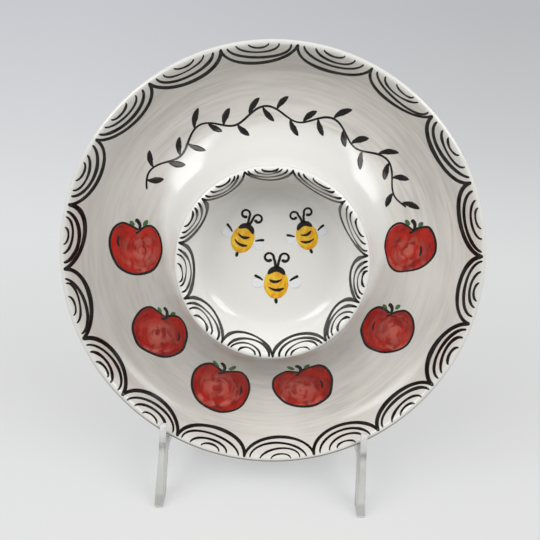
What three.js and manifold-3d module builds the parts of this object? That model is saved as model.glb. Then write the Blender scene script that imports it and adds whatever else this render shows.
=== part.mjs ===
// Apples and honey dish on its clear display stand.
// Millimetres, +Z up, the decorated side faces -Y, the stand's feet rest on z = 0.
import * as THREE from "three";
import { mergeVertices } from "three/addons/utils/BufferGeometryUtils.js";
import Module from "manifold-3d";

// Dish: radii from its axis, heights above the plane of its foot ring.
// The margin keeps the underside's points off the foot ring's corners.
const DISH_RADIUS = 152.4;
const DISH_RIM_HEIGHT = 34;
const DISH_WALL = 5;
const DISH_RIM_SLOPE = THREE.MathUtils.degToRad(55);
const BOWL_INNER_SLOPE = THREE.MathUtils.degToRad(76);
const BOWL_OUTER_SLOPE = THREE.MathUtils.degToRad(82);
const TROUGH_RADIUS = 112;
const TROUGH_HEIGHT = 10.5;
const BOWL_RADIUS = 68;
const BOWL_HEIGHT = 45.5;
const BOWL_FLOOR_RADIUS = 42;
const BOWL_FLOOR_HEIGHT = 12;
const FOOT_RING_RADIUS = 103;
const FOOT_RING_WIDTH = 7;
const FOOT_RING_CHAMFER = 1;
const FOOT_RING_MARGIN = 1;
const HOLLOW_COVER = 12;
const DISH_SIDES = 72;
const WALL_STEPS = 8;
const RIM_STEPS = 6;

// How far each wall's curve runs on along its end directions before it bends
const BEND = { bowlFloor: 0.82, bowlTop: 0.62, outerTop: 0.45, troughIn: 0.45, troughOut: 0.9, rim: 0.36 };

// How the dish sits: its lean from upright, and the lowest point of its rim above the table
const LEAN = THREE.MathUtils.degToRad(15);
const RIM_ABOVE_TABLE = 24;

// Stand: two side frames, one at each side of the dish's centre
const FRAME_OFFSET = 74;
const FRAME_THICKNESS = 4.4;
const FRAME_FOOT_THICKNESS = 6.1;
const STANCE = 146;
const FRONT_LEG_LEAN = THREE.MathUtils.degToRad(26);
const FRONT_LEG_DEPTH = 20;
const FOOT_DEPTH = 14;
const ARM_THICKNESS = 11;
const LIP_HEIGHT = 12;
const LIP_DEPTH = 5;
const LIP_CLEARANCE = 5.5;
const UPRIGHT_DEPTH = 16;
const UPRIGHT_REACH = 96;
const REAR_LEG_JOIN = 20;
const REAR_LEG_ROOT = 55;

// Cross bars, which slot half into the frames
const BAR_HEIGHT = 20;
const BAR_THICKNESS = 5;
const BAR_OVERHANG = 10;
const LOWER_BAR_HEIGHT = 60;

// Clear pads under the feet
const PAD_THICKNESS = 2;
const PAD_MARGIN = 0.1;
const PAD_BEVEL = 0.5;

// Gap between pieces that touch, and corner roundings
const FIT_GAP = 0.3;
const OUTER_ROUND = 2.5;
const INNER_ROUND = 6;
const CURVE_STEPS = 6;

const wasm = await Module();
wasm.setup();

// Booleans
function toSolid(geometry) {
  const bare = geometry.index ? geometry.toNonIndexed() : geometry.clone();
  bare.deleteAttribute("normal");
  bare.deleteAttribute("uv");
  const merged = mergeVertices(bare, 1e-4);
  const vertProperties = new Float32Array(merged.attributes.position.array);
  const triVerts = new Uint32Array(merged.index.array);
  return new wasm.Manifold(new wasm.Mesh({ numProp: 3, vertProperties, triVerts }));
}

function toGeometry(solid) {
  const mesh = solid.getMesh();
  const geometry = new THREE.BufferGeometry();
  geometry.setAttribute("position", new THREE.BufferAttribute(new Float32Array(mesh.vertProperties), 3));
  geometry.setIndex(new THREE.BufferAttribute(new Uint32Array(mesh.triVerts), 1));
  geometry.computeVertexNormals();
  return geometry;
}

// Outlines: corners are [x, y, reach of the rounding along each edge]
function roundedShape(corners) {
  const shape = new THREE.Shape();
  const points = corners.map(([x, y]) => new THREE.Vector2(x, y));
  points.forEach((corner, i) => {
    const before = points[(i + points.length - 1) % points.length];
    const after = points[(i + 1) % points.length];
    const limit = Math.min(corner.distanceTo(before), corner.distanceTo(after)) * 0.45;
    const reach = Math.min(corners[i][2], limit);
    const start = corner.clone().lerp(before, reach / corner.distanceTo(before));
    const end = corner.clone().lerp(after, reach / corner.distanceTo(after));
    if (i === 0) shape.moveTo(start.x, start.y);
    else shape.lineTo(start.x, start.y);
    if (reach > 0) shape.quadraticCurveTo(corner.x, corner.y, end.x, end.y);
  });
  shape.closePath();
  return shape;
}

function meetingPoint(a, b, c, d) {
  const along = b.clone().sub(a);
  const other = d.clone().sub(c);
  const share = c.clone().sub(a).cross(other) / along.cross(other);
  return a.clone().addScaledVector(along, share);
}

// The dish's own directions in the side view: out along its axis, and up in its plane
const halfStance = STANCE / 2;
const axisOut = new THREE.Vector2(-Math.cos(LEAN), Math.sin(LEAN));
const planeUp = new THREE.Vector2(Math.sin(LEAN), Math.cos(LEAN));
const rimCentreHeight = DISH_RIM_HEIGHT - DISH_WALL / 2;
const dishCentreZ = RIM_ABOVE_TABLE + DISH_RADIUS * planeUp.y - rimCentreHeight * axisOut.y;

// The rim rests on the ledge where each frame's inner side crosses it
const contactOffset = FRAME_OFFSET - FRAME_THICKNESS / 2;
const ledge = -Math.sqrt(DISH_RADIUS ** 2 - contactOffset ** 2) - FIT_GAP;
const lipFoot = DISH_RIM_HEIGHT + LIP_CLEARANCE;
const heelZ = dishCentreZ + (ledge - ARM_THICKNESS / 2) * planeUp.y + (lipFoot + LIP_DEPTH) * axisOut.y;
const frontRun = (heelZ - PAD_THICKNESS) * Math.tan(FRONT_LEG_LEAN);
const heelY = -halfStance + frontRun;
const dishCentreY = heelY - (lipFoot + LIP_DEPTH) * axisOut.x - (ledge - ARM_THICKNESS / 2) * planeUp.x;
const dishCentre = new THREE.Vector2(dishCentreY, dishCentreZ);

function onDish(height, up) {
  return dishCentre.clone().addScaledVector(axisOut, height).addScaledVector(planeUp, up);
}

// Dish: one casting of even wall, its profile turned about its axis
function offsetPoints(curve, steps, distance) {
  return Array.from({ length: steps + 1 }, (_, i) => {
    const tangent = curve.getTangent(i / steps);
    return curve.getPoint(i / steps).add(new THREE.Vector2(tangent.y, -tangent.x).multiplyScalar(distance));
  });
}

function arcPoints(centre, radius, from, to, steps) {
  return Array.from({ length: steps + 1 }, (_, i) => {
    const angle = THREE.MathUtils.lerp(from, to, i / steps);
    return new THREE.Vector2(Math.cos(angle), Math.sin(angle)).multiplyScalar(radius).add(centre);
  });
}

function heading(angle, length) {
  return new THREE.Vector2(Math.cos(angle), Math.sin(angle)).multiplyScalar(length);
}

const halfWall = DISH_WALL / 2;
const bowlRim = new THREE.Vector2(BOWL_RADIUS - halfWall, BOWL_HEIGHT - halfWall);
const outerRim = new THREE.Vector2(DISH_RADIUS - halfWall, rimCentreHeight);
const troughFloor = new THREE.Vector2(TROUGH_RADIUS, TROUGH_HEIGHT);

function bowlInnerWall() {
  const floorEdge = new THREE.Vector2(BOWL_FLOOR_RADIUS, BOWL_FLOOR_HEIGHT);
  const top = heading(BOWL_INNER_SLOPE + Math.PI / 2, halfWall).add(bowlRim);
  return new THREE.CubicBezierCurve(
    floorEdge,
    new THREE.Vector2(THREE.MathUtils.lerp(floorEdge.x, top.x, BEND.bowlFloor), BOWL_FLOOR_HEIGHT),
    heading(BOWL_INNER_SLOPE, -(BOWL_HEIGHT - BOWL_FLOOR_HEIGHT) * BEND.bowlTop).add(top),
    top,
  );
}

function bowlOuterWall() {
  const top = heading(Math.PI / 2 - BOWL_OUTER_SLOPE, halfWall).add(bowlRim);
  return new THREE.CubicBezierCurve(
    top,
    heading(-BOWL_OUTER_SLOPE, (BOWL_HEIGHT - TROUGH_HEIGHT) * BEND.outerTop).add(top),
    new THREE.Vector2(THREE.MathUtils.lerp(BOWL_RADIUS, TROUGH_RADIUS, BEND.troughIn), TROUGH_HEIGHT),
    troughFloor,
  );
}

function outerSlope() {
  const top = heading(DISH_RIM_SLOPE + Math.PI / 2, halfWall).add(outerRim);
  return new THREE.CubicBezierCurve(
    troughFloor,
    new THREE.Vector2(THREE.MathUtils.lerp(TROUGH_RADIUS, top.x, BEND.troughOut), TROUGH_HEIGHT),
    heading(DISH_RIM_SLOPE, -DISH_RIM_HEIGHT * BEND.rim).add(top),
    top,
  );
}

function footRing(ringIn, ringOut) {
  const root = TROUGH_HEIGHT - DISH_WALL;
  return [
    new THREE.Vector2(ringIn, root),
    new THREE.Vector2(ringIn, FOOT_RING_CHAMFER),
    new THREE.Vector2(ringIn + FOOT_RING_CHAMFER, 0),
    new THREE.Vector2(ringOut - FOOT_RING_CHAMFER, 0),
    new THREE.Vector2(ringOut, FOOT_RING_CHAMFER),
    new THREE.Vector2(ringOut, root),
  ];
}

// The hollow under the bowl's wall closes where its two sides come close together
function dishProfile() {
  const inner = bowlInnerWall();
  const outer = bowlOuterWall();
  const slope = outerSlope();
  const overRim = (slopeIn, slopeOut) => [Math.PI / 2 + slopeIn, Math.PI / 2 - slopeOut, RIM_STEPS];
  const top = [
    new THREE.Vector2(0, BOWL_FLOOR_HEIGHT),
    ...inner.getPoints(WALL_STEPS),
    ...arcPoints(bowlRim, halfWall, ...overRim(BOWL_INNER_SLOPE, BOWL_OUTER_SLOPE)).slice(1, -1),
    ...outer.getPoints(WALL_STEPS),
    ...slope.getPoints(WALL_STEPS).slice(1),
    ...arcPoints(outerRim, halfWall, ...overRim(DISH_RIM_SLOPE, Math.PI - DISH_RIM_SLOPE)).slice(1),
  ];
  const hollowTop = BOWL_HEIGHT - HOLLOW_COVER;
  const ringIn = FOOT_RING_RADIUS - FOOT_RING_WIDTH / 2;
  const ringOut = FOOT_RING_RADIUS + FOOT_RING_WIDTH / 2;
  const underBowl = (p) => p.y < hollowTop && p.x < ringIn - FOOT_RING_MARGIN;
  const outsideRing = (p) => p.x > ringOut + FOOT_RING_MARGIN;
  const under = [
    new THREE.Vector2(0, BOWL_FLOOR_HEIGHT - DISH_WALL),
    ...offsetPoints(inner, WALL_STEPS, DISH_WALL).filter(underBowl),
    ...offsetPoints(outer, WALL_STEPS, DISH_WALL).filter(underBowl),
    ...footRing(ringIn, ringOut),
    ...offsetPoints(slope, WALL_STEPS, DISH_WALL).slice(0, -1).filter(outsideRing),
  ];
  return [...under, ...top.reverse()];
}

// Side frame: one flat profile, thickened towards its feet
const lipTopFront = onDish(lipFoot + LIP_DEPTH, ledge - ARM_THICKNESS / 2)
  .add(new THREE.Vector2(Math.sin(FRONT_LEG_LEAN), Math.cos(FRONT_LEG_LEAN))
    .multiplyScalar(LIP_HEIGHT + ARM_THICKNESS / 2));
const uprightBack = -FIT_GAP - UPRIGHT_DEPTH;
const rearLegJoin = onDish(uprightBack, REAR_LEG_JOIN);

function rearEdgeAt(z) {
  const share = (z - PAD_THICKNESS) / (rearLegJoin.y - PAD_THICKNESS);
  return THREE.MathUtils.lerp(halfStance, rearLegJoin.x, share);
}

function frameOutline() {
  const at = (point, reach) => [point.x, point.y, reach];
  const footBack = new THREE.Vector2(-halfStance + FOOT_DEPTH, PAD_THICKNESS);
  const legBackTop = new THREE.Vector2(heelY + FRONT_LEG_DEPTH, heelZ);
  const armFront = onDish(lipFoot, ledge - ARM_THICKNESS);
  const armBack = onDish(uprightBack, ledge - ARM_THICKNESS);
  const lipBottomBack = onDish(lipFoot, ledge);
  const lipWidth = LIP_DEPTH / Math.cos(FRONT_LEG_LEAN - LEAN);
  const lipTopBack = lipTopFront.clone().addScaledVector(axisOut, -lipWidth);
  return roundedShape([
    [-halfStance, PAD_THICKNESS, 0],
    at(footBack, 0),
    at(meetingPoint(footBack, legBackTop, armFront, armBack), INNER_ROUND),
    at(armBack, INNER_ROUND),
    at(onDish(uprightBack, REAR_LEG_JOIN - REAR_LEG_ROOT), INNER_ROUND),
    [halfStance - FOOT_DEPTH, PAD_THICKNESS, 0],
    [halfStance, PAD_THICKNESS, 0],
    at(rearLegJoin, INNER_ROUND * 2),
    at(onDish(uprightBack, UPRIGHT_REACH), OUTER_ROUND),
    at(onDish(-FIT_GAP, UPRIGHT_REACH), OUTER_ROUND),
    at(onDish(-FIT_GAP, ledge), OUTER_ROUND),
    at(lipBottomBack, OUTER_ROUND),
    at(lipTopBack, OUTER_ROUND),
    at(lipTopFront, OUTER_ROUND),
  ]);
}

function frameFrontView() {
  const foot = FRAME_FOOT_THICKNESS / 2;
  const half = FRAME_THICKNESS / 2;
  const top = dishCentreZ + DISH_RADIUS;
  return new THREE.Shape([
    new THREE.Vector2(-foot, PAD_THICKNESS),
    new THREE.Vector2(foot, PAD_THICKNESS),
    new THREE.Vector2(half, heelZ),
    new THREE.Vector2(half, top),
    new THREE.Vector2(-half, top),
    new THREE.Vector2(-half, heelZ),
  ]);
}

function extruded(shape, depth, xAxis, yAxis, zAxis) {
  const geometry = new THREE.ExtrudeGeometry(shape, {
    depth,
    bevelEnabled: false,
    curveSegments: CURVE_STEPS,
  });
  geometry.translate(0, 0, -depth / 2);
  return geometry.applyMatrix4(new THREE.Matrix4().makeBasis(xAxis, yAxis, zAxis));
}

const X = new THREE.Vector3(1, 0, 0);
const Y = new THREE.Vector3(0, 1, 0);
const Z = new THREE.Vector3(0, 0, 1);

function slotBox(width, depth, height, centre, lean) {
  const box = new THREE.BoxGeometry(width, depth, height);
  box.rotateX(-lean);
  box.translate(0, centre.x, centre.y);
  return toSolid(box);
}

function frameGeometry() {
  const profile = toSolid(extruded(frameOutline(), FRAME_FOOT_THICKNESS, Y, Z, X));
  const frontView = toSolid(extruded(frameFrontView(), STANCE * 2, X, Z, Y.clone().negate()));
  const slotWidth = BAR_THICKNESS + 2 * FIT_GAP;
  const slotDepth = BAR_HEIGHT / 2 + FIT_GAP / 2;
  const clear = FRAME_FOOT_THICKNESS * 2;
  const upperSlot = slotBox(clear, slotWidth, 2 * slotDepth, onDish(upperBarHeight, UPRIGHT_REACH), LEAN);
  const rearEdge = new THREE.Vector2(rearEdgeAt(LOWER_BAR_HEIGHT), LOWER_BAR_HEIGHT);
  const lowerSlot = slotBox(clear, 2 * slotDepth, slotWidth, rearEdge, 0);
  return toGeometry(profile.intersect(frontView).subtract(upperSlot).subtract(lowerSlot));
}

// Cross bar: a strip with a notch over each frame, lying flat with its notches towards -Y
const upperBarHeight = -FIT_GAP - UPRIGHT_DEPTH / 2;

function barGeometry() {
  const end = FRAME_OFFSET + BAR_OVERHANG;
  const notch = FRAME_THICKNESS / 2 + FIT_GAP;
  const deep = BAR_HEIGHT / 2 + FIT_GAP / 2;
  const notchCorners = (x) => [
    [x - notch, 0, 0],
    [x - notch, deep, 0],
    [x + notch, deep, 0],
    [x + notch, 0, 0],
  ];
  const shape = roundedShape([
    [-end, 0, OUTER_ROUND],
    ...notchCorners(-FRAME_OFFSET),
    ...notchCorners(FRAME_OFFSET),
    [end, 0, OUTER_ROUND],
    [end, BAR_HEIGHT, OUTER_ROUND],
    [-end, BAR_HEIGHT, OUTER_ROUND],
  ]);
  return extruded(shape, BAR_THICKNESS, X, Y, Z);
}

// Foot pad: a thin block a little larger than the foot, with a softened lower edge
function padGeometry() {
  const width = FRAME_FOOT_THICKNESS / 2 + PAD_MARGIN - PAD_BEVEL;
  const depth = FOOT_DEPTH / 2 - PAD_BEVEL;
  const shape = roundedShape([
    [-width, -depth, OUTER_ROUND / 2],
    [width, -depth, OUTER_ROUND / 2],
    [width, depth, OUTER_ROUND / 2],
    [-width, depth, OUTER_ROUND / 2],
  ]);
  const geometry = new THREE.ExtrudeGeometry(shape, {
    depth: PAD_THICKNESS - 2 * PAD_BEVEL,
    bevelThickness: PAD_BEVEL,
    bevelSize: PAD_BEVEL,
    bevelSegments: 2,
    curveSegments: CURVE_STEPS,
  });
  return geometry.translate(0, 0, PAD_BEVEL);
}

// Materials
const glaze = new THREE.MeshStandardMaterial({ color: 0xe6e3dc, roughness: 0.12, metalness: 0 });
const clearPlastic = { roughness: 0.08, metalness: 0, transparent: true, opacity: 0.4 };
const frameMaterial = new THREE.MeshStandardMaterial({ color: 0xd3d8d8, ...clearPlastic });
const barMaterial = new THREE.MeshStandardMaterial({ color: 0xd9dddc, ...clearPlastic });
const padMaterial = new THREE.MeshStandardMaterial({ color: 0xb9bdbc, roughness: 0.4, metalness: 0 });

function piece(name, geometry, material) {
  const mesh = new THREE.Mesh(geometry, material);
  mesh.name = name;
  return mesh;
}

// Assembly
const group = new THREE.Group();

const dish = piece("honey_dish", new THREE.LatheGeometry(dishProfile(), DISH_SIDES), glaze);
dish.position.set(0, dishCentre.x, dishCentre.y);
dish.rotation.x = Math.PI - LEAN;
group.add(dish);

const sides = [["left", -1], ["right", 1]];
const frameShape = frameGeometry();
for (const [side, sign] of sides) {
  const frame = piece(`${side}_side_frame`, frameShape, frameMaterial);
  frame.position.x = sign * FRAME_OFFSET;
  group.add(frame);
}

const barShape = barGeometry();
const upperBar = piece("upper_cross_bar", barShape, barMaterial);
const upperBarFoot = onDish(upperBarHeight, UPRIGHT_REACH - BAR_HEIGHT);
upperBar.position.set(0, upperBarFoot.x, upperBarFoot.y);
upperBar.rotation.x = Math.PI / 2 - LEAN;
const lowerBar = piece("lower_cross_bar", barShape, barMaterial);
lowerBar.position.set(0, rearEdgeAt(LOWER_BAR_HEIGHT) - BAR_HEIGHT, LOWER_BAR_HEIGHT);
group.add(upperBar, lowerBar);

const padShape = padGeometry();
for (const [side, sign] of sides) {
  for (const [end, y] of [["front", -1], ["rear", 1]]) {
    const pad = piece(`${side}_${end}_foot_pad`, padShape, padMaterial);
    pad.position.set(sign * FRAME_OFFSET, y * (halfStance - FOOT_DEPTH / 2), 0);
    group.add(pad);
  }
}

export default group;
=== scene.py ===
# Apples and honey dish on its clear display stand, dressed for rendering.
# The frame is in metres, +Z up, and the decorated side faces -Y.
# Measures of the dish are in millimetres in its own directions: x across, u up its plane,
# w out along its axis.
import math
import random

import bmesh
import bpy
import numpy as np
from mathutils import Matrix, Vector


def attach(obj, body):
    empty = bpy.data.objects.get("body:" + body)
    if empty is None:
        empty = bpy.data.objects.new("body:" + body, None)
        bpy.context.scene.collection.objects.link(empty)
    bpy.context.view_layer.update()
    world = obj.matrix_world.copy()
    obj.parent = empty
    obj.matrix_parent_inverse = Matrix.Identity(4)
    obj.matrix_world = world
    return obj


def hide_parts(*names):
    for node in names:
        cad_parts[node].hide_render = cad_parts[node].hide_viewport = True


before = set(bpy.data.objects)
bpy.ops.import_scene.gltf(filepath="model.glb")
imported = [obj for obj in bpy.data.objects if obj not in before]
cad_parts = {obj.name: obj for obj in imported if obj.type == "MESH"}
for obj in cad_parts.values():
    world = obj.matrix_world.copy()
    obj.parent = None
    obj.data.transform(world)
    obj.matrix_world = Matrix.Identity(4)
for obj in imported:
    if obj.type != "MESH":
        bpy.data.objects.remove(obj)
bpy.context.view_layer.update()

MM = 0.001

# Dish, with the same measures as the solid
DISH_RADIUS = 152.4
DISH_RIM_HEIGHT = 34
DISH_WALL = 5
HALF_WALL = DISH_WALL / 2
RIM_SLOPE = math.radians(55)
BOWL_INNER_SLOPE = math.radians(76)
BOWL_OUTER_SLOPE = math.radians(82)
TROUGH_RADIUS = 112
TROUGH_HEIGHT = 10.5
BOWL_RADIUS = 68
BOWL_HEIGHT = 45.5
BOWL_FLOOR_RADIUS = 42
BOWL_FLOOR_HEIGHT = 12
FOOT_RING_IN = 99.5
FOOT_RING_OUT = 106.5
FOOT_RING_CHAMFER = 1
FOOT_RING_MARGIN = 1
HOLLOW_TOP = 33.5
BEND = {
    "bowl_floor": 0.82, "bowl_top": 0.62, "outer_top": 0.45,
    "trough_in": 0.45, "trough_out": 0.9, "rim": 0.36,
}
# Steps along each curve of the profile, round its edges, and round the dish
CURVE_STEPS = 40
ARC_STEPS = 16
DISH_SIDES = 288

# How the dish sits: its lean from upright, and the centre of its foot ring in the frame
LEAN = math.radians(15)
DISH_CENTRE = (0, 24.383, 163.053)

# Painted colour, in millimetres: how far it stands proud of the glaze, how much further each next
# layer does, and how far it sinks under the glaze
INK_LIFT = 0.05
INK_LEVEL = 0.025
INK_SINK = 0.12
# A stroke's points across its width, the stops that round each end, how narrow the end may get as a
# share of the width, and the gap between stops
ACROSS = (-0.5, -0.3, 0.0, 0.3, 0.5)
CAP_STEPS = 5
CAP_LEAST = 0.08
STOP_GAP = 0.6
# Width of the finest lines
FINE_LINE = 1.7

# Scallops round the rim and in the bowl: where the first starts and how far each reaches, in degrees.
# fan: each arc's share of the width and of the depth, and the brush's width. depth: how far in the
# largest arc reaches. edge: how far in from the crest it starts. swell: how much thicker the strokes are
# at the sides than at the top and bottom. taper: how hard the brush presses at both ends
RIM_BORDER = {
    "first": 4.6,
    "spans": (
        20.5, 20.6, 20.2, 20.3, 20.2, 20.8, 20.6, 19.1, 17.9,
        20.3, 19.6, 19.6, 20.4, 20.4, 19.9, 20.3, 20.2, 19.1,
    ),
    "fan": ((1.0, 1.0, 2.4), (0.81, 0.70, 2.2), (0.55, 0.45, 1.8), (0.27, 0.22, 1.4)),
    "depth": 18.9, "edge": 0.3, "swell": 0.5, "taper": 0.75,
}
BOWL_BORDER = {
    "first": 8.5,
    "spans": (36.2, 36, 28.6, 29.8, 30.2, 34.8, 36, 33, 34.8, 31.4, 29.2),
    "fan": ((1.0, 1.0, 3.0), (0.80, 0.76, 2.5), (0.57, 0.53, 2.1), (0.33, 0.30, 1.7)),
    "depth": 25.8, "edge": -1.4, "swell": 0.1, "taper": 0.45,
}
# The arcs are round as seen from this far in front of the dish and this far above its axis
SEEN_FROM = 480
SEEN_ABOVE = 75
# Depths tried below a crest, and steps along each arc
SEEN_STEPS = 80
SCALLOP_STEPS = 64

# Apples: centre, size, tilt in degrees, the lobes, how far the lowest point lies to the side, and where
# the small mark is. The lobes are the height of the left one, how far to the side the dip between them
# lies, and the height of the right one
APPLES = (
    ((-101.8, 2.0), (40.5, 38.5), 5, (1.01, 0.08, 0.88), -0.12, (-0.70, 0.28)),
    ((-83.1, -61.8), (42.8, 37.0), -9, (0.98, 0.05, 0.94), 0.10, (0.72, 0.02)),
    ((-35.5, -103.7), (45.0, 37.4), -9, (1.00, -0.06, 0.90), 0.06, (0.74, 0.02)),
    ((28.6, -98.6), (45.4, 34.2), 9, (0.88, -0.12, 1.00), 0.08, (0.66, -0.06)),
    ((90.1, -50.4), (41.1, 36.5), -2, (0.98, 0.0, 0.86), -0.10, (-0.56, 0.12)),
    ((101.5, 13.1), (39.4, 36.5), -3, (0.98, 0.0, 0.90), -0.26, (0.48, -0.12)),
)

# Bees: centre, tilt in degrees and size
BEES = (((-22.8, 13.8), -20, 1.03), ((24.6, 18.2), 18, 0.98), ((3.7, -18.6), 1, 1.12))

# Camera: where it stands, how far it looks down and rolls, and its lens and sensor, in millimetres
CAMERA_PLACE = (-1.4, -394.0, 338.5)
CAMERA_DOWN = math.radians(24.1)
CAMERA_ROLL = math.radians(2.9)
CAMERA_LENS = 39.3
CAMERA_SENSOR = 36

# Seeds of the random strokes. Each apple and bee adds its own number
RIM_SEED, BOWL_SEED, APPLE_SEED, BEE_SEED, VINE_SEED = 11, 23, 40, 60, 7

# Edges sharper than this stay sharp when the rest is shaded smooth
SHARP_ANGLE = math.radians(40)


# Curves in the dish's own cross-section, as radius and height
def heading(angle, length=1.0):
    return np.array((math.cos(angle), math.sin(angle))) * length


def bezier(points):
    a, b, c, d = (np.asarray(p, float) for p in points)
    t = np.linspace(0, 1, CURVE_STEPS + 1)[:, None]
    s = 1 - t
    return s**3 * a + 3 * s * s * t * b + 3 * s * t * t * c + t**3 * d


def arc(centre, radius, start, end, steps=ARC_STEPS):
    angles = np.linspace(start, end, steps + 1)
    return centre + radius * np.stack([np.cos(angles), np.sin(angles)], 1)


def lerp(a, b, share):
    return a + (b - a) * share


def running_length(points):
    return np.concatenate([[0], np.cumsum(np.linalg.norm(np.diff(points, axis=0), axis=1))])


BOWL_RIM = np.array((BOWL_RADIUS - HALF_WALL, BOWL_HEIGHT - HALF_WALL))
OUTER_RIM = np.array((DISH_RADIUS - HALF_WALL, DISH_RIM_HEIGHT - HALF_WALL))
TROUGH_FLOOR = np.array((TROUGH_RADIUS, TROUGH_HEIGHT), float)


def bowl_inner_wall():
    top = heading(BOWL_INNER_SLOPE + math.pi / 2, HALF_WALL) + BOWL_RIM
    run = (BOWL_HEIGHT - BOWL_FLOOR_HEIGHT) * BEND["bowl_top"]
    return bezier((
        (BOWL_FLOOR_RADIUS, BOWL_FLOOR_HEIGHT),
        (lerp(BOWL_FLOOR_RADIUS, top[0], BEND["bowl_floor"]), BOWL_FLOOR_HEIGHT),
        top - heading(BOWL_INNER_SLOPE, run),
        top,
    ))


def bowl_outer_wall():
    top = heading(math.pi / 2 - BOWL_OUTER_SLOPE, HALF_WALL) + BOWL_RIM
    run = (BOWL_HEIGHT - TROUGH_HEIGHT) * BEND["outer_top"]
    return bezier((
        top,
        top + heading(-BOWL_OUTER_SLOPE, run),
        (lerp(BOWL_RADIUS, TROUGH_RADIUS, BEND["trough_in"]), TROUGH_HEIGHT),
        TROUGH_FLOOR,
    ))


def outer_slope():
    top = heading(RIM_SLOPE + math.pi / 2, HALF_WALL) + OUTER_RIM
    return bezier((
        TROUGH_FLOOR,
        (lerp(TROUGH_RADIUS, top[0], BEND["trough_out"]), TROUGH_HEIGHT),
        top - heading(RIM_SLOPE, DISH_RIM_HEIGHT * BEND["rim"]),
        top,
    ))


def offset(curve, distance):
    along = np.gradient(curve, axis=0)
    along /= np.linalg.norm(along, axis=1)[:, None]
    return curve + np.stack([along[:, 1], -along[:, 0]], 1) * distance


def face_profile():
    over_bowl = arc(BOWL_RIM, HALF_WALL, BOWL_INNER_SLOPE + math.pi / 2, math.pi / 2 - BOWL_OUTER_SLOPE)
    over_rim = arc(OUTER_RIM, HALF_WALL, RIM_SLOPE + math.pi / 2, RIM_SLOPE - math.pi / 2)
    return np.vstack([
        ((0, BOWL_FLOOR_HEIGHT),),
        bowl_inner_wall(),
        over_bowl[1:-1],
        bowl_outer_wall(),
        outer_slope()[1:],
        over_rim[1:],
    ])


def back_profile():
    root = TROUGH_HEIGHT - DISH_WALL
    inner = offset(bowl_inner_wall(), DISH_WALL)
    outer = offset(bowl_outer_wall(), DISH_WALL)
    slope = offset(outer_slope(), DISH_WALL)[:-1]
    return np.vstack([
        ((0, BOWL_FLOOR_HEIGHT - DISH_WALL),),
        inner[inner[:, 1] < HOLLOW_TOP],
        outer[(outer[:, 1] < HOLLOW_TOP) & (outer[:, 0] < FOOT_RING_IN - FOOT_RING_MARGIN)],
        (
            (FOOT_RING_IN, root),
            (FOOT_RING_IN, FOOT_RING_CHAMFER),
            (FOOT_RING_IN + FOOT_RING_CHAMFER, 0),
            (FOOT_RING_OUT - FOOT_RING_CHAMFER, 0),
            (FOOT_RING_OUT, FOOT_RING_CHAMFER),
            (FOOT_RING_OUT, root),
        ),
        slope[slope[:, 0] > FOOT_RING_OUT + FOOT_RING_MARGIN],
    ])


# The dish's face as a surface: everything painted on it is laid through these
FACE = face_profile()
FACE_LENGTH = running_length(FACE)
FACE_ALONG = np.gradient(FACE, FACE_LENGTH, axis=0)
RIM_CREST = float(np.interp(OUTER_RIM[0], FACE[:, 0], FACE_LENGTH))
BOWL_CREST = float(np.interp(BOWL_RIM[0], FACE[:, 0], FACE_LENGTH))


def unit(vectors):
    return vectors / np.maximum(np.linalg.norm(vectors, axis=1), 1e-9)[:, None]


def face_at(along):
    """The face's radius and height this far along it, and how fast both change there."""
    return [np.interp(along, FACE_LENGTH, values) for values in (*FACE.T, *FACE_ALONG.T)]


def settle(points):
    """The face's nearest points to these, and the face's normals there."""
    points = np.asarray(points, float)
    radius = np.hypot(points[:, 0], points[:, 1])
    out = points[:, :2] / np.maximum(radius, 1e-9)[:, None]
    at = np.interp(radius, FACE[:, 0], FACE_LENGTH)
    for _ in range(4):
        r, w, dr, dw = face_at(at)
        at = at + (radius - r) * dr + (points[:, 2] - w) * dw
    r, w, dr, dw = face_at(at)
    return np.column_stack([out * r[:, None], w]), unit(np.column_stack([out * -dw[:, None], dr]))


def on_plan(spots):
    """Points of the face over these places in its plan."""
    spots = np.asarray(spots, float)
    height = np.interp(np.hypot(*spots.T), FACE[:, 0], FACE[:, 1])
    return np.column_stack([spots, height])


def on_ring(crest, degrees, depth):
    """Points of the face at these angles, this far in from a crest along the surface."""
    angle = np.radians(degrees)
    r, w = (np.interp(crest - depth, FACE_LENGTH, a) for a in FACE.T)
    return np.column_stack([np.cos(angle) * r, np.sin(angle) * r, w])


# Meshes
def dish_matrix():
    up = (0, math.sin(LEAN), math.cos(LEAN))
    out = (0, -math.cos(LEAN), math.sin(LEAN))
    turn = Matrix(((1, up[0], out[0]), (0, up[1], out[1]), (0, up[2], out[2]))).to_4x4()
    return Matrix.Translation(Vector(DISH_CENTRE) * MM) @ turn


def add_object(name, data):
    made = bpy.data.objects.new(name, data)
    bpy.context.scene.collection.objects.link(made)
    return made


def mesh_object(name, points, faces, materials, indices=None, uvs=None):
    mesh = bpy.data.meshes.new(name)
    mesh.from_pydata(np.asarray(points).tolist(), [], faces)
    for material in materials:
        mesh.materials.append(material)
    if indices is not None:
        mesh.polygons.foreach_set("material_index", np.asarray(indices, np.int32))
    if uvs is not None:
        layer = mesh.uv_layers.new(name="Brush")
        corners = np.empty(len(mesh.loops), np.int32)
        mesh.loops.foreach_get("vertex_index", corners)
        layer.data.foreach_set("uv", np.asarray(uvs, np.float32)[corners].ravel())
    work = bmesh.new()
    work.from_mesh(mesh)
    bmesh.ops.recalc_face_normals(work, faces=work.faces)
    work.to_mesh(mesh)
    work.free()
    mesh.shade_smooth()
    return add_object(name, mesh)


def on_dish(piece):
    piece.matrix_world = dish_matrix()
    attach(piece, "dish")
    return piece


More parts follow.
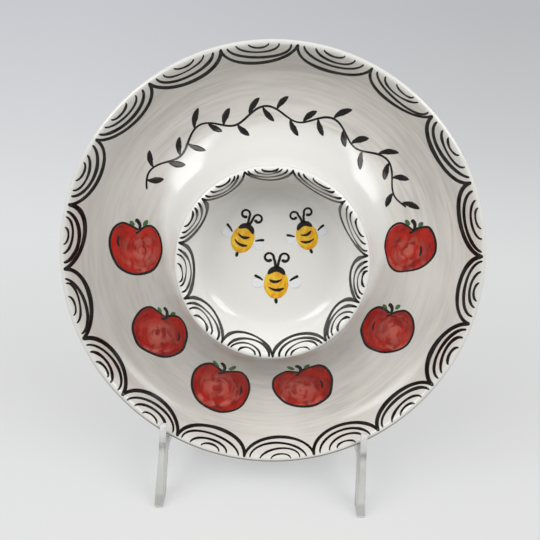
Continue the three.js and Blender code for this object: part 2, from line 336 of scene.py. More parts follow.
def revolved(profile, sides):
    """A profile from axis to axis turned about the axis: points and faces."""
    angles = np.linspace(0, 2 * math.pi, sides, endpoint=False)
    ring = profile[1:-1]
    points = np.stack([
        ring[:, :1] * np.cos(angles),
        ring[:, :1] * np.sin(angles),
        np.repeat(ring[:, 1:], sides, axis=1),
    ], -1).reshape(-1, 3)
    poles = np.array(((0, 0, profile[0][1]), (0, 0, profile[-1][1])))
    faces = []
    for i in range(len(ring) - 1):
        for j in range(sides):
            k = (j + 1) % sides
            faces.append((i * sides + j, i * sides + k, (i + 1) * sides + k, (i + 1) * sides + j))
    last = (len(ring) - 1) * sides
    for j in range(sides):
        k = (j + 1) % sides
        faces.append((len(points), k, j))
        faces.append((len(points) + 1, last + j, last + k))
    return np.vstack([points, poles]), faces


class Paint:
    """Thin closed shapes of colour on the dish's face, gathered into one mesh."""

    def __init__(self):
        self.points, self.faces, self.uvs, self.indices = [], [], [], []
        self.count = 0

    def add(self, points, faces, uvs, colour):
        self.points.append(points)
        self.uvs.append(uvs)
        self.faces += [tuple(v + self.count for v in face) for face in faces]
        self.indices += [colour] * len(faces)
        self.count += len(points)

    def stroke(self, path, thick, press, colour=0, level=0):
        """One brush stroke along a path, rounded at both ends, its width thick times press."""
        path, share, round_off = brush_stops(path, thick)
        width = thick * round_off * np.interp(share, np.linspace(0, 1, len(press)), press)
        path, up = settle(path)
        side = unit(np.cross(up, np.gradient(path, axis=0)))
        places = np.array((*ACROSS, ACROSS[-1], ACROSS[0]))
        rises = [INK_LIFT + INK_LEVEL * level] * len(ACROSS) + [-INK_SINK] * 2
        columns = []
        for place, rise in zip(places, rises):
            spot, normal = settle(path + side * (width * place)[:, None])
            columns.append(spot + normal * rise)
        points = np.stack(columns, 1)
        rows, loop = points.shape[:2]
        run = running_length(path)
        uvs = np.stack([np.repeat(run[:, None], loop, 1), width[:, None] * places], -1)
        faces = [
            (i * loop + k, i * loop + (k + 1) % loop, (i + 1) * loop + (k + 1) % loop, (i + 1) * loop + k)
            for i in range(rows - 1)
            for k in range(loop)
        ]
        faces += [tuple(range(loop))[::-1], tuple(range((rows - 1) * loop, rows * loop))]
        self.add(points.reshape(-1, 3), faces, uvs.reshape(-1, 2), colour)

    def patch(self, outline, centre, size, colour, level, rings, heart):
        """A filled shape round a centre. Its UVs span 2 over size, and are 0 at its heart."""
        steps = np.linspace(0, 1, rings + 1)[1:]
        spots = np.vstack([centre, *(centre + (outline - centre) * s for s in steps)])
        face, normal = settle(on_plan(spots))
        count, turn = len(spots), len(outline)
        points = np.vstack([face + normal * (INK_LIFT + INK_LEVEL * level), face - normal * INK_SINK])
        faces = []
        for j in range(turn):
            k = (j + 1) % turn
            faces += [(0, 1 + j, 1 + k), (count, count + 1 + k, count + 1 + j)]
            for i in range(rings - 1):
                a, b = 1 + i * turn, 1 + (i + 1) * turn
                faces.append((a + j, b + j, b + k, a + k))
                faces.append((count + a + k, count + b + k, count + b + j, count + a + j))
            edge = 1 + (rings - 1) * turn
            faces.append((edge + j, count + edge + j, count + edge + k, edge + k))
        uvs = np.tile((spots - centre) / (np.asarray(size) / 2) - heart, (2, 1))
        self.add(points, faces, uvs, colour)

    def piece(self, name, materials):
        points = np.vstack(self.points) * MM
        return on_dish(mesh_object(name, points, self.faces, materials, self.indices, np.vstack(self.uvs)))


def brush_stops(path, thick):
    """The path cut into stops, closer at its ends, with each stop's share of the way and rounding."""
    run = running_length(path)
    cap = min(thick / 2, run[-1] / 4)
    ends = cap * (1 - np.cos(np.linspace(0, math.pi / 2, CAP_STEPS)))
    middle = np.linspace(cap, run[-1] - cap, max(4, int(run[-1] / STOP_GAP)))[1:-1]
    stops = np.concatenate([ends, middle, run[-1] - ends[::-1]])
    path = np.column_stack([np.interp(stops, run, column) for column in path.T])
    from_end = np.clip(np.minimum(stops, run[-1] - stops) / cap, 0, 1)
    return path, stops / run[-1], np.maximum(np.sqrt(1 - (1 - from_end) ** 2), CAP_LEAST)


def smooth_line(knots, steps=10, closed=False):
    """A smooth curve through the knots."""
    knots = np.asarray(knots, float)
    if closed:
        knots = np.vstack([knots[-1], knots, knots[:2]])
    else:
        knots = np.vstack([2 * knots[0] - knots[1], knots, 2 * knots[-1] - knots[-2]])
    t = np.linspace(0, 1, steps, endpoint=False)[:, None]
    parts = []
    for a, b, c, d in zip(knots, knots[1:], knots[2:], knots[3:]):
        bend = (2 * a - 5 * b + 4 * c - d) * t**2 + (3 * b - a - 3 * c + d) * t**3
        parts.append(0.5 * (2 * b + (c - a) * t + bend))
    return np.vstack(parts if closed else [*parts, knots[-2]])


# Materials
class Nodes:
    """Short ways to add nodes to a tree."""

    def __init__(self, tree):
        self.tree = tree

    def node(self, kind, inputs=(), **settings):
        node = self.tree.nodes.new("ShaderNode" + kind)
        for key, value in settings.items():
            setattr(node, key, value)
        for key, value in dict(inputs).items():
            if isinstance(value, bpy.types.NodeSocket):
                self.tree.links.new(value, node.inputs[key])
            else:
                node.inputs[key].default_value = value
        return node

    def maths(self, operation, *values):
        return self.node("Math", dict(enumerate(values)), operation=operation).outputs[0]

    def spread(self, value, low, high, to_low=0.0, to_high=1.0):
        inputs = {"Value": value, "From Min": low, "From Max": high, "To Min": to_low, "To Max": to_high}
        return self.node("MapRange", inputs).outputs[0]

    def mix(self, share, a, b):
        return self.node("Mix", {0: share, 6: a, 7: b}, data_type="RGBA").outputs[2]

    def noise(self, vector, scale, detail=2.0, roughness=0.5, warp=0.0):
        inputs = {"Vector": vector, "Scale": scale, "Detail": detail, "Roughness": roughness}
        inputs["Distortion"] = warp
        return self.node("TexNoise", inputs).outputs["Fac"]

    def place(self):
        return self.node("TexCoord").outputs["Object"]

    def brush(self):
        return self.node("UVMap", uv_map="Brush").outputs[0]

    def split(self, vector):
        return self.node("SeparateXYZ", {0: vector}).outputs

    def join(self, x, y, z):
        return self.node("CombineXYZ", {0: x, 1: y, 2: z}).outputs[0]

    def from_middle(self, x, y):
        return self.node("VectorMath", {0: self.join(x, y, 0.0)}, operation="LENGTH").outputs["Value"]

    def round_axis(self, vector, turn, across):
        """Coordinates that run round the axis slowly and across it fast, for brushed rings."""
        x, y, z = self.split(vector)[:3]
        radius = self.from_middle(x, y)
        safe = self.maths("MAXIMUM", radius, 0.0001)
        around = [self.maths("MULTIPLY", self.maths("DIVIDE", a, safe), turn) for a in (x, y)]
        reach = self.maths("MULTIPLY", self.maths("ADD", radius, z), across)
        return self.join(*around, reach), radius, z

    def seen_directly(self):
        """1 for rays from the camera, from a reflection or through clear plastic, and 0 for light."""
        rays = self.node("LightPath").outputs
        seen = self.maths("MAXIMUM", rays["Is Camera Ray"], rays["Is Glossy Ray"])
        return self.maths("MAXIMUM", seen, rays["Is Transmission Ray"])

    def surface(self, share, first, second):
        """Two shaders mixed, as what the whole tree gives."""
        both = self.node("MixShader", {0: share, 1: first.outputs[0], 2: second.outputs[0]})
        end = next(node for node in self.tree.nodes if node.type.startswith("OUTPUT_"))
        self.tree.links.new(both.outputs[0], end.inputs["Surface"])


class Shader(Nodes):
    """A material with one main shader, whose sockets are given by name."""

    def __init__(self, name, **sockets):
        self.material = bpy.data.materials.new(name)
        self.material.use_nodes = True
        super().__init__(self.material.node_tree)
        self.main = self.tree.nodes["Principled BSDF"]
        for socket, value in sockets.items():
            self.main.inputs[socket.replace("_", " ")].default_value = value

    def set(self, socket, value):
        self.tree.links.new(value, self.main.inputs[socket])

    def bump(self, height, strength, distance):
        node = self.node("Bump", {"Height": height, "Strength": strength, "Distance": distance})
        self.set("Normal", node.outputs[0])

    def gloss(self, share, roughness):
        """A little smoother or rougher than this, as the share says."""
        self.set("Roughness", self.spread(share, 0.3, 0.7, roughness - 0.03, roughness + 0.04))


# How strongly glaze and ink, and the clear plastic, bend light
GLASSY = 1.52
ACRYLIC = 1.49


def rgb(red, green, blue):
    """A colour given as it should look on screen, from 0 to 255."""
    return tuple(linear(c / 255) for c in (red, green, blue)) + (1,)


def linear(value):
    return ((value + 0.055) / 1.055) ** 2.4 if value > 0.04045 else value / 12.92


# How slowly brushed rings change round the dish and how fast across it, for the broad strokes and for
# the hairs in them
BROAD_BRUSH = (2.6, 95)
HAIR_BRUSH = (3.4, 420)
# Where the glaze changes, in metres from the dish's axis: each pair is where a change begins and where
# it is complete
WASH_INSIDE = (0.079, 0.086)
WASH_OUTSIDE = (0.1515, 0.139)
WASH_IN_BOWL = (0.066, 0.058)
OUT_OF_BOWL = (0.069, 0.075)
# Where painted shade lies in the trough below the bowl
SHADE_BELOW_BOWL = (0.11, 0.09)
# Where painted shade darkens the rim's lowest edge
RIM_EDGE_SHADE = (0.15, 0.1512)
# The foot ring is bare below the second of these heights
BARE_FOOT = (0.0012, 0.0004)


def wash_colour(shader, across, up, radius, sweeps, hairs, clouds):
    """A streaked grey-beige wash, darker towards the left, with painted shade round the bowl's lower side.
    """
    wash = shader.mix(shader.spread(sweeps, 0.32, 0.68), rgb(228, 224, 216), rgb(213, 209, 202))
    wash = shader.mix(shader.spread(hairs, 0.44, 0.7, 0, 0.5), wash, rgb(178, 175, 171))
    wash = shader.mix(shader.spread(clouds, 0.42, 0.66, 0, 0.45), wash, rgb(238, 235, 229))
    # Darker towards the left, and painted shade in the trough below the bowl, which the lamps above leave in
    # shade
    left = shader.spread(shader.maths("MULTIPLY_ADD", up, 0.35, across), 0.0, -0.12, 0, 0.4)
    below = shader.spread(up, 0.03, -0.05, 0, 0.45)
    painted_shade_below_bowl = shader.maths("MULTIPLY", below, shader.spread(radius, *SHADE_BELOW_BOWL))
    return shader.mix(shader.maths("MAXIMUM", left, painted_shade_below_bowl), wash, rgb(178, 174, 168))


def wash_cover(shader, up, radius, sweeps):
    """Where the wash colour goes: all over the trough, thinly over the bowl's upper part, darkening it, not
    on the back.
    """
    strayed = shader.maths("ADD", radius, shader.spread(sweeps, 0.3, 0.7, -0.002, 0.002))
    start = shader.maths("SUBTRACT", strayed, shader.spread(up, -0.03, 0.075, -0.011, 0.0165))
    inner, outer = shader.spread(start, *WASH_INSIDE), shader.spread(strayed, *WASH_OUTSIDE)
    in_bowl = shader.spread(strayed, *WASH_IN_BOWL)
    bowl = shader.maths("MULTIPLY", shader.spread(up, 0.01, 0.05, 0, 0.4), in_bowl)
    covered = shader.maths("MAXIMUM", bowl, shader.maths("MULTIPLY", inner, outer))
    facing = shader.split(shader.node("TexCoord").outputs["Normal"])[2]
    return shader.maths("MULTIPLY", covered, shader.spread(facing, -0.06, 0.06))


def white_colour(shader, up, radius):
    """The white under the wash, brightest in the bowl, with painted shade on the rim's lowest edge."""
    white = shader.mix(shader.spread(radius, *OUT_OF_BOWL), rgb(246, 245, 241), rgb(234, 233, 229))
    # Painted shade along the lowest edge of the rim, which faces down away from the light
    painted_edge_shade = shader.maths("MULTIPLY", shader.spread(radius, *RIM_EDGE_SHADE), shader.spread(up, -0.07, -0.13))
    return shader.mix(painted_edge_shade, white, rgb(140, 132, 121))


def glaze_material():
    """White glaze with a grey-beige wash brushed round the trough, and a bare foot ring."""
    shader = Shader("glaze", Roughness=0.12, IOR=GLASSY)
    place = shader.place()
    broad, radius, height = shader.round_axis(place, *BROAD_BRUSH)
    fine, _, _ = shader.round_axis(place, *HAIR_BRUSH)
    across, up = shader.split(place)[:2]
    sweeps = shader.noise(broad, 1.0)
    hairs = shader.noise(fine, 1.0, 3.0, 0.6)
    clouds = shader.noise(place, 14.0)
    wash = wash_colour(shader, across, up, radius, sweeps, hairs, clouds)
    covered = wash_cover(shader, up, radius, sweeps)
    colour = shader.mix(covered, white_colour(shader, up, radius), wash)
    bare = shader.spread(height, *BARE_FOOT)
    shader.set("Base Color", shader.mix(bare, colour, rgb(222, 212, 196)))
    gloss = shader.maths("MULTIPLY_ADD", covered, 0.09, shader.spread(clouds, 0.3, 0.7, 0.10, 0.16))
    shader.set("Roughness", shader.maths("MULTIPLY_ADD", bare, 0.5, gloss))
    ripples = shader.maths("ADD", shader.maths("MULTIPLY", sweeps, 0.5), shader.noise(place, 60.0, 1.0))
    shader.bump(ripples, 0.2, 0.0004)
    return shader.material


def ink_material(name, full, thin):
    """Brushed colour that thins in streaks along the stroke."""
    shader = Shader(name, IOR=GLASSY, Specular_IOR_Level=0.3)
    x, y = shader.split(shader.brush())[:2]
    along, across = shader.maths("MULTIPLY", x, 0.12), shader.maths("MULTIPLY", y, 3.0)
    hairs = shader.noise(shader.join(along, across, 0.0), 1.0, 3.0)
    pools = shader.noise(shader.place(), 160.0)
    wear = shader.maths("MULTIPLY", shader.spread(hairs, 0.42, 0.75), shader.spread(pools, 0.35, 0.7))
    shader.set("Base Color", shader.mix(wear, full, thin))
    shader.gloss(pools, 0.14)
    return shader.material


# How fast the swirls change across a filled shape, up it and out from its heart, and from place to
# place on the dish, so that no two are alike
SWIRL_STEPS = (1.8, 0.9, 2.1)
SWIRL_DRIFT = 9.0


def swirl_material(name, dark, full, pale):
    """Brushed colour swirling round a filled shape's heart, paler there and at its foot, with painted shade
    lower down.
    """
    shader = Shader(name, IOR=GLASSY, Specular_IOR_Level=0.2)
    x, y = shader.split(shader.brush())[:2]
    radius = shader.from_middle(x, y)
    swirl = shader.join(*(shader.maths("MULTIPLY", *pair) for pair in zip((x, y, radius), SWIRL_STEPS)))
    own = shader.node("VectorMath", {0: shader.place(), 3: SWIRL_DRIFT}, operation="SCALE").outputs[0]
    shifted = shader.node("VectorMath", {0: swirl, 1: own}, operation="ADD").outputs[0]
    strokes = shader.noise(shifted, 1.1, warp=0.5)
    streaks = shader.noise(shifted, 1.7, 1.0, warp=0.5)
    # Painted shade: darker strokes on shapes lower down the dish
    lower = shader.spread(shader.split(shader.place())[1], -0.02, -0.08, 0.56, 0.68)
    colour = shader.mix(shader.spread(strokes, 0.34, lower), dark, full)
    near = shader.spread(shader.maths("MULTIPLY_ADD", strokes, 0.6, radius), 1.1, 0.5, 0.1, 0.75)
    crescent = shader.spread(radius, 0.58, 0.72)
    for share in (shader.spread(radius, 0.92, 0.78), shader.spread(y, -0.05, -0.5, 0.0, 0.8)):
        crescent = shader.maths("MULTIPLY", crescent, share)
    reach = shader.maths("MAXIMUM", near, crescent)
    pallor = shader.maths("MULTIPLY", shader.spread(streaks, 0.36, 0.6, 0.1, 1), reach)
    shader.set("Base Color", shader.mix(pallor, colour, pale))
    shader.gloss(strokes, 0.13)
    return shader.material


# Where the stand's plastic changes, in metres in the frame: how far forward, how high the lips start,
# how high the feet are milky, how much further up the front legs are, and how softly that ends
STAND_FRONT = (-0.028, -0.038)
# The lips are whitened with painted light from this height
LIP_START = (0.041, 0.044)
MILKY_FOOT = 0.012
MILKY_LEG = 0.030
MILKY_FADE = 0.006


def plastic_material(name, tint, roughness, clear):
    """Clear plastic, with painted light that whitens the lips and makes them less clear, and cloudy in the
    front legs and the feet.
    """
    shader = Shader(name, IOR=ACRYLIC)
    place = shader.place()
    depth, height = shader.split(place)[1:3]
    front = shader.spread(depth, *STAND_FRONT)
    # The lips, where painted light makes the plastic whiter and less clear
    lip_light = shader.maths("MULTIPLY", front, shader.spread(height, *LIP_START))
    leg_top = shader.maths("MULTIPLY_ADD", front, MILKY_LEG, MILKY_FOOT)
    leg = shader.spread(shader.maths("SUBTRACT", leg_top, height), 0.0, MILKY_FADE)
    cloudy_legs_and_lip_light = shader.maths("MULTIPLY_ADD", leg, 0.55, shader.maths("MULTIPLY", lip_light, 0.35))
    shader.set("Transmission Weight", shader.spread(cloudy_legs_and_lip_light, 0.0, 1.0, clear, 0.0))
    haze = shader.noise(place, 45.0, 3.0)
    # Random haze, and painted light on the lips, whiten the plastic
    pale = shader.maths("MAXIMUM", shader.spread(haze, 0.35, 0.7, 0.0, 0.5), lip_light)
    shader.set("Base Color", shader.mix(pale, tint, rgb(252, 253, 253)))
    shader.set("Roughness", shader.spread(haze, 0.3, 0.7, roughness, roughness + 0.06))
    return shader.material


GLAZE = glaze_material()
BLACK = ink_material("black_brushwork", rgb(20, 15, 14), rgb(52, 45, 42))
GREEN = ink_material("green_brushwork", rgb(60, 96, 52), rgb(120, 156, 104))
RED = swirl_material("red_brushwork", rgb(128, 14, 8), rgb(180, 30, 16), rgb(208, 112, 98))
YELLOW = swirl_material("yellow_brushwork", rgb(236, 150, 24), rgb(252, 200, 40), rgb(255, 226, 96))
WING = ink_material("pale_wing_brushwork", rgb(246, 248, 252), rgb(250, 250, 250))
PLASTIC = plastic_material("clear_plastic", rgb(228, 229, 226), 0.08, 0.8)
PAD = plastic_material("clear_pad", rgb(238, 239, 237), 0.25, 0.9)


# Dish
def make_dish():
    profile = np.vstack([back_profile(), face_profile()[::-1]])
    points, faces = revolved(profile, DISH_SIDES)
    dish = on_dish(mesh_object("honey_dish_glazed", points * MM, faces, [GLAZE]))
    dish.data.set_sharp_from_angle(angle=SHARP_ANGLE)
    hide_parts("honey_dish")


# Painted borders
def shaken(rng, amount):
    return rng.uniform(-amount, amount)


def pressure(rng, high):
    return [rng.uniform(0.8, high) for _ in range(4)]


def seen_steps(crest, angle, edge, depth):
    """Depths below a crest, and how far in from it each seems to lie when seen from the front."""
    depths = np.linspace(edge, edge + depth, SEEN_STEPS)
    spots = on_ring(crest, np.full(SEEN_STEPS, angle), depths)
    radius, height = np.hypot(spots[:, 0], spots[:, 1]), spots[:, 2]
    slant = (radius[0] - SEEN_ABOVE * math.sin(math.radians(angle))) / SEEN_FROM
    seen = radius[0] - radius + (height[0] - height) * slant
    return depths, np.maximum.accumulate(seen)


def scallop(paint, rng, crest, start, span, fan, depth, edge, swell, taper):
    middle = start + span / 2
    swell = 1 + swell * abs(math.cos(math.radians(middle)))
    depths, seen = seen_steps(crest, middle, edge, depth * rng.uniform(0.96, 1.06))
    for nest, (wide, deep, thick) in enumerate(fan):
        turn = np.linspace(0, math.pi, SCALLOP_STEPS + 1)
        along = shaken(rng, 0.12) * np.sin(turn) - np.cos(turn)
        half, aside, ends, press = span / 2, 0, 0, [taper, *pressure(rng, 1.15), taper]
        if nest:
            deep *= 1 + shaken(rng, 0.06)
            half *= wide * (1 + shaken(rng, 0.05))
            aside = shaken(rng, 0.03) * span
            ends = lerp(rng.uniform(0, 0.8), rng.uniform(0, 0.8), turn / math.pi)
            press = [0.5, *press[1:-1], 0.5]
        down = ends + np.interp(seen[-1] * deep * np.sin(turn) ** rng.uniform(0.9, 1.15), seen, depths)
        path = on_ring(crest, middle + aside + half * along, down)
        paint.stroke(path, thick * swell * rng.uniform(0.85, 1.15), press)


def scallop_border(name, seed, crest, first, spans, **traits):
    rng = random.Random(seed)
    paint = Paint()
    for start, span in zip(np.cumsum((first, *spans)), spans):
        scallop(paint, rng, crest, start, span, **traits)
    paint.piece(name, [BLACK])


# Apples: brush widths in millimetres. The rest is in shares of half the apple: the stem's line from the
# dip, and how high the leaves start and how steeply they rise
BLACK_INK, RED_INK, GREEN_INK = 0, 1, 2
STEM_WIDTH = 2.9
LEAF_WIDTHS = (2.8, 3.5)
STEM_RISE = ((0.06, 0), (0.10, 0.17), (0.06, 0.31), (-0.06, 0.43))
LEAF_FOOT = 0.9
LEAF_SLOPE = 1.15


def apple_knots(lobes, foot):
    """An apple's outline from -1 to 1, from the dip round its right lobe, its foot and its left lobe."""
    left, dip, right = lobes
    return (
        (dip, (left + right) / 2 - 0.22), (dip + 0.17, right - 0.12),
        (0.40, right - 0.02), (0.64, right - 0.01),
        (0.86, right - 0.24), (0.99, 0.28), (0.99, -0.12), (0.86 + foot * 0.3, -0.54),
        (0.58 + foot * 0.6, -0.85), (0.16 + foot, -1.0), (-0.26 + foot * 0.7, -0.96),
        (-0.66 + foot * 0.2, -0.74), (-0.90, -0.38), (-1.0, 0.04),
        (-0.96, 0.46), (-0.78, left - 0.17), (-0.50, left), (dip / 2 - 0.23, left - 0.08),
    )


def placed(points, centre, size, tilt):
    """Points of a motif scaled by half this size, tilted and moved to its place in the plan."""
    points = np.asarray(points, float) * np.asarray(size) / 2
    c, s = math.cos(math.radians(tilt)), math.sin(math.radians(tilt))
    return points @ np.array(((c, s), (-s, c))) + centre


def apple_leaf(rng, side, base):
    reach = rng.uniform(0.14, 0.24)
    return [
        (base + side * reach * s, LEAF_FOOT + shaken(rng, 0.03) + LEAF_SLOPE * reach * s)
        for s in (0, 0.5, 1)
    ]


def apple_mark(x, y):
    lean = math.copysign(0.05, -x)
    return [(x + lean, y + 0.25), (x, y + 0.02), (x + lean * 0.7, y - 0.2)]


def apple(name, seed, centre, size, tilt, lobes, foot, mark):
    rng = random.Random(seed)
    paint = Paint()

    def put(knots, **settings):
        return placed(smooth_line(knots, **settings), centre, size, tilt)

    def line(knots, thick, press, colour, level):
        paint.stroke(on_plan(put(knots)), thick, press, colour, level)

    knots = [(x + shaken(rng, 0.015), y + shaken(rng, 0.015)) for x, y in apple_knots(lobes, foot)]
    # The swirl's heart lies on the side away from the mark
    heart = (rng.uniform(0.1, 0.3) * (1 if mark[0] < 0 else -0.4), rng.uniform(-0.25, 0.05))
    skin = put(knots, steps=5, closed=True)
    paint.patch(skin, np.asarray(centre, float), size, RED_INK, 0, 14, heart)
    dip, low = knots[0]
    edge = [(dip - 0.09, low - 0.13), (dip + 0.01, low - 0.07), *knots[1:], (dip + 0.03, low + 0.02)]
    line(edge, FINE_LINE, pressure(rng, 1.2), BLACK_INK, 2)
    stem = [(dip + across, low + up) for across, up in STEM_RISE]
    line(stem, STEM_WIDTH, (0.6, 0.85, 1.0, 1.1), BLACK_INK, 3)
    for side, base in ((-1, dip - 0.11), (1, dip + 0.23)):
        leaf = apple_leaf(rng, side, base)
        line(leaf, rng.uniform(*LEAF_WIDTHS), (0.6, 1.0, 1.0, 0.55), GREEN_INK, 2)
    line(apple_mark(*mark), FINE_LINE, (0.5, 1.0, 1.0, 0.4), BLACK_INK, 2)
    paint.piece(name, [BLACK, RED, GREEN])


# Bees, in millimetres: sizes, brush widths, each band's height and half width, the antennae and the sting
YELLOW_INK, WING_INK = 1, 2
BEE_BODY = (16.4, 21.5)
BEE_WING = (8.8, 6.4)
BEE_LINE = 1.8
CAP_LINE = 3.9
STING_LINE = 2.1
BEE_BANDS = ((2.0, 4.4), (-3.6, 5.2))
ANTENNA = ((0.6, 10.0), (0.9, 12.4), (1.3, 14.8))
HOOK_HEIGHT = 17.2
HOOK_RADIUS = 3.4
HOOK_STEPS = 18
STING = ((0.2, -10.6), (0.3, -12.0), (0.7, -14.2))


def oval(size, turn):
    return np.column_stack([size[0] / 2 * np.cos(turn), size[1] / 2 * np.sin(turn)])


def curl(side, reach):
    """An antenna from the head, up and out, and round into a hook."""
    turn = np.radians(np.linspace(190, -150, HOOK_STEPS))
    ease = HOOK_RADIUS * np.linspace(1, 0.6, HOOK_STEPS)
    hook = np.column_stack([reach + ease * np.cos(turn), HOOK_HEIGHT + ease * np.sin(turn)])
    return np.vstack([ANTENNA, hook]) * (side, 1)


def wing_vein(rng, side):
    rise = rng.uniform(2.6, 5.0)
    return smooth_line([(side * 8.8, 1.6), (side * 11.6, 1.6 + rise * 0.55), (side * 14.8, 1.6 + rise)])


def bee_band(rng, low, reach):
    t = np.linspace(-1, 1, 14)
    return np.column_stack([reach * t + shaken(rng, 0.6), low + 1.8 * t**2 + shaken(rng, 0.5) * t - 1.2])


def bee(name, seed, centre, tilt, size):
    rng = random.Random(seed)
    paint = Paint()

    def put(points):
        return placed(points, centre, (2 * size, 2 * size), tilt)

    def line(points, thick, press):
        paint.stroke(on_plan(put(points)), thick * size, press, BLACK_INK, 3)

    def fill(outline, middle, ink, level, rings, heart=(0, 0)):
        paint.patch(put(outline), put([middle])[0], np.ptp(outline, axis=0) * size, ink, level, rings, heart)

    turn = np.linspace(0, 2 * math.pi, 48, endpoint=False)
    for side in (-1, 1):
        root = (side * 12.0, -0.4 + shaken(rng, 0.6))
        fill(placed(oval(BEE_WING, turn), root, (2, 2), side * -12), root, WING_INK, 0, 5)
        line(wing_vein(rng, side), FINE_LINE, (0.6, 0.9, 1.1, 1.1))
    body = oval(BEE_BODY, turn)
    body[:, 0] *= 1 - 0.05 * np.sin(turn)
    fill(body, (0, 0), YELLOW_INK, 1, 8, (-0.3, 0.2))
    cap = oval((BEE_BODY[0] * 0.84, BEE_BODY[1] * 0.9), np.radians(np.linspace(36, 144, 24)))
    line(cap, CAP_LINE, (0.5, 0.95, 1.05, 0.95, 0.5))
    for low, reach in BEE_BANDS:
        line(bee_band(rng, low, reach), BEE_LINE, rng.choice(((0.4, 1.2, 1.0, 0.4), (0.4, 0.9, 1.3, 0.6))))
    for side in (-1, 1):
        line(curl(side, 5.1 + shaken(rng, 0.5)), BEE_LINE, (1.0, 1.0, 0.85, 0.9, 1.3))
    line(STING, STING_LINE, (1.1, 1.1, 0.8))
    paint.piece(name, [BLACK, YELLOW, WING])


# Leafy spray where the dish has its upper border, in degrees and millimetres
VINE_FROM, VINE_TO = 154, 24
VINE_RADIUS = 106
VINE_WAVE = 5.0
VINE_TURNS = 5
VINE_STEPS = 160
VINE_STEM_WIDTH = 1.8
VINE_LEAVES = 24
VINE_LEAF_LENGTHS = (9.5, 12.0)
VINE_LEAF_WIDTHS = (3.8, 4.6)


def around(degrees, radius):
    angle = np.radians(degrees)
    return np.column_stack([np.cos(angle) * radius, np.sin(angle) * radius])


def vine_stem(share):
    """Angle and radius of the stem this share of the way along it."""
    wave = VINE_WAVE * np.sin(2 * math.pi * VINE_TURNS * share)
    return lerp(VINE_FROM, VINE_TO, share), VINE_RADIUS + wave


def vine(seed):
    rng = random.Random(seed)
    paint = Paint()
    stem = around(*vine_stem(np.linspace(0, 1, VINE_STEPS)))
    paint.stroke(on_plan(stem), VINE_STEM_WIDTH, [rng.uniform(0.7, 1.2) for _ in range(12)])
    steps = np.linspace(0, 1, 6)
    for i in range(VINE_LEAVES):
        side = 1 if i % 2 else -1
        foot_angle, foot_radius = vine_stem((i + 0.6) / VINE_LEAVES)
        reach = rng.uniform(*VINE_LEAF_LENGTHS)
        out = foot_radius + side * reach * steps**0.85
        turn = foot_angle - math.degrees(reach * 0.75 / VINE_RADIUS) * steps**1.3
        width = rng.uniform(*VINE_LEAF_WIDTHS)
        paint.stroke(on_plan(around(turn, out)), width, (0.25, 0.7, 1.1, 0.9, 0.35), 0, 1)
    paint.piece("leafy_spray", [BLACK])


# Stand: how close points are joined, how flat neighbouring faces are to become one, and how the edges
# are eased, with the width in millimetres
WELD = 1e-5
FLAT_ANGLE = math.radians(0.5)
EASED_ANGLE = math.radians(35)
EASED_STEPS = 3
FRAME_EDGE = 0.45
PAD_EDGE = 0.15


def flattened(node, material):
    """A copy of a solid's mesh in which each flat side is one face."""
    work = bmesh.new()
    work.from_mesh(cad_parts[node].data)
    bmesh.ops.remove_doubles(work, verts=work.verts, dist=WELD)
    bmesh.ops.dissolve_limit(work, angle_limit=FLAT_ANGLE, verts=work.verts, edges=work.edges)
    mesh = bpy.data.meshes.new(node + "_polished")
    work.to_mesh(mesh)
    work.free()
    mesh.materials.clear()
    mesh.materials.append(material)
    return mesh


def polished(node, material, edge=FRAME_EDGE):
    """A copy of a solid with its edges eased, which stands for it."""
    piece = add_object(node + "_polished", flattened(node, material))
    bevel = piece.modifiers.new("eased", "BEVEL")
    bevel.width = edge * MM
    bevel.segments = EASED_STEPS
    bevel.limit_method = "ANGLE"
    bevel.angle_limit = EASED_ANGLE
    bpy.context.view_layer.update()
    eased = bpy.data.meshes.new_from_object(piece.evaluated_get(bpy.context.evaluated_depsgraph_get()))
    piece.modifiers.clear()
    piece.data = eased
    eased.shade_smooth()
    eased.set_sharp_from_angle(angle=SHARP_ANGLE)
    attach(piece, "stand")
    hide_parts(node)


# Table and backdrop, one sweep: lit by the lamps near the dish and partly glowing there, and only glowing
# further off
SWEEP_NEAR = (rgb(226, 227, 228), rgb(219, 220, 220))
SWEEP_FAR = (rgb(200, 201, 206), rgb(187, 188, 191))
# Its shape in metres: the front edge, the bend's start and radius, the top edge, and half its width
SWEEP_FRONT = (-2.0, 0.0)
SWEEP_BEND, SWEEP_RADIUS, SWEEP_STEPS = 0.9, 0.7, 24
SWEEP_TOP = (SWEEP_BEND + SWEEP_RADIUS, 3.0)
SWEEP_HALF = 3.0


def sweep_material():
    shader = Shader("paper_sweep", Roughness=0.9)
    place = shader.place()
    across, depth, height = shader.split(place)[:3]
    grain = shader.noise(place, 3.0)
    paper = shader.mix(shader.spread(grain, 0.3, 0.7), rgb(239, 239, 240), rgb(242, 242, 242))
    seen = shader.seen_directly()
    # The light it throws back is darker than it looks, which is painted shade on the dish's lower parts
    shader.set("Base Color", shader.mix(seen, rgb(184, 183, 181), paper))
    # Its glow, with painted shade that darkens it further back, higher up and to the right
    away = shader.maths("ADD", depth, height)
    side = shader.spread(across, -0.6, 0.6)
    share = shader.spread(away, 0.4, 1.86)
    plain = shader.mix(share, shader.mix(side, *SWEEP_NEAR), shader.mix(side, *SWEEP_FAR))
    own = shader.node("Emission", {"Color": plain})
    # Near the dish the glow is painted light that softens the dish's shadow on the table
    fade = shader.maths("MULTIPLY", seen, shader.spread(away, 0.08, 0.45, 0.6, 1))
    shader.surface(fade, shader.main, own)
    return shader.material


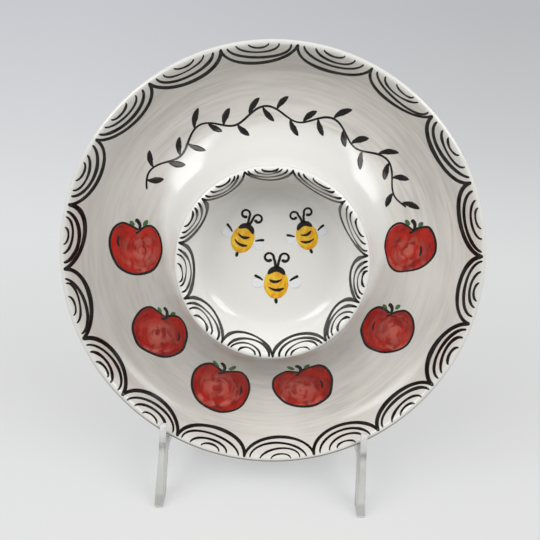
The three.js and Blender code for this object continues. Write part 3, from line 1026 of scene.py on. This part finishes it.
def make_sweep():
    rise = arc(np.array((SWEEP_BEND, SWEEP_RADIUS)), SWEEP_RADIUS, -math.pi / 2, 0, SWEEP_STEPS)
    line = np.vstack([SWEEP_FRONT, rise, SWEEP_TOP])
    points = [(x, y, z) for y, z in line for x in (-SWEEP_HALF, SWEEP_HALF)]
    faces = [(2 * i, 2 * i + 1, 2 * i + 3, 2 * i + 2) for i in range(len(line) - 1)]
    sweep = mesh_object("paper_sweep", points, faces, [sweep_material()])


# Light and camera. The soft light from all round grows from the horizon up.
SOFT_LIGHT_COLOUR = (1.0, 0.98, 0.945, 1)
SOFT_LIGHT_LOW = 0.12
SOFT_LIGHT_HIGH = 0.6
ROOM_COLOUR = rgb(200, 202, 205)
# Softboxes: turned this far to the side, this far up, and their power
LAMPS = {"softbox_left": (-56, 41, 7.7), "softbox_right": (59, 40, 7.2)}
LAMP_COLOUR = (0.99, 0.997, 1.0)
LAMP_WIDTH, LAMP_HEIGHT = 1.1, 0.42
LAMP_DISTANCE = 1.25
LAMP_TARGET = (0, 0, 0.16)


def softbox(name, aside, above, power):
    light = bpy.data.lights.new(name, "AREA")
    light.shape = "RECTANGLE"
    light.size, light.size_y = LAMP_WIDTH, LAMP_HEIGHT
    light.energy = power
    light.color = LAMP_COLOUR
    lamp = add_object(name, light)
    aside, above = math.radians(aside), math.radians(above)
    flat = math.cos(above)
    towards = Vector((math.sin(aside) * flat, -math.cos(aside) * flat, math.sin(above)))
    lamp.location = Vector(LAMP_TARGET) + towards * LAMP_DISTANCE
    lamp.rotation_euler = towards.to_track_quat("Z", "Y").to_euler()


def make_world():
    """Even light from all round, which the camera and reflections see as a plain pale room."""
    world = bpy.data.worlds.new("studio")
    bpy.context.scene.world = world
    world.use_nodes = True
    nodes = Nodes(world.node_tree)
    soft = nodes.tree.nodes["Background"]
    soft.inputs["Color"].default_value = SOFT_LIGHT_COLOUR
    rise = nodes.split(nodes.node("TexCoord").outputs["Generated"])["Z"]
    strength = nodes.spread(rise, 0.0, 1.0, SOFT_LIGHT_LOW, SOFT_LIGHT_HIGH)
    nodes.tree.links.new(strength, soft.inputs["Strength"])
    room = nodes.node("Background", {"Color": ROOM_COLOUR})
    nodes.surface(nodes.seen_directly(), soft, room)


def make_camera():
    data = bpy.data.cameras.new("camera")
    data.lens = CAMERA_LENS
    data.sensor_width = CAMERA_SENSOR
    data.clip_start = 0.01
    camera = add_object("camera", data)
    tilt = Matrix.Rotation(math.pi / 2 - CAMERA_DOWN, 4, "X")
    roll = Matrix.Rotation(CAMERA_ROLL, 4, "Z")
    camera.matrix_world = Matrix.Translation(Vector(CAMERA_PLACE) * MM) @ tilt @ roll
    bpy.context.scene.camera = camera


make_camera()
make_world()
for name, traits in LAMPS.items():
    softbox(name, *traits)
make_sweep()
make_dish()
scallop_border("rim_scallops", RIM_SEED, RIM_CREST, **RIM_BORDER)
scallop_border("bowl_scallops", BOWL_SEED, BOWL_CREST, **BOWL_BORDER)
for number, traits in enumerate(APPLES, 1):
    apple(f"apple_{number}", APPLE_SEED + number, *traits)
for number, traits in enumerate(BEES, 1):
    bee(f"bee_{number}", BEE_SEED + number, *traits)
vine(VINE_SEED)
for side in ("left", "right"):
    polished(f"{side}_side_frame", PLASTIC)
    for end in ("front", "rear"):
        polished(f"{side}_{end}_foot_pad", PAD, PAD_EDGE)
for level in ("upper", "lower"):
    polished(f"{level}_cross_bar", PLASTIC)

scene = bpy.context.scene
scene.view_settings.view_transform = "Standard"
bpy.context.view_layer.update()
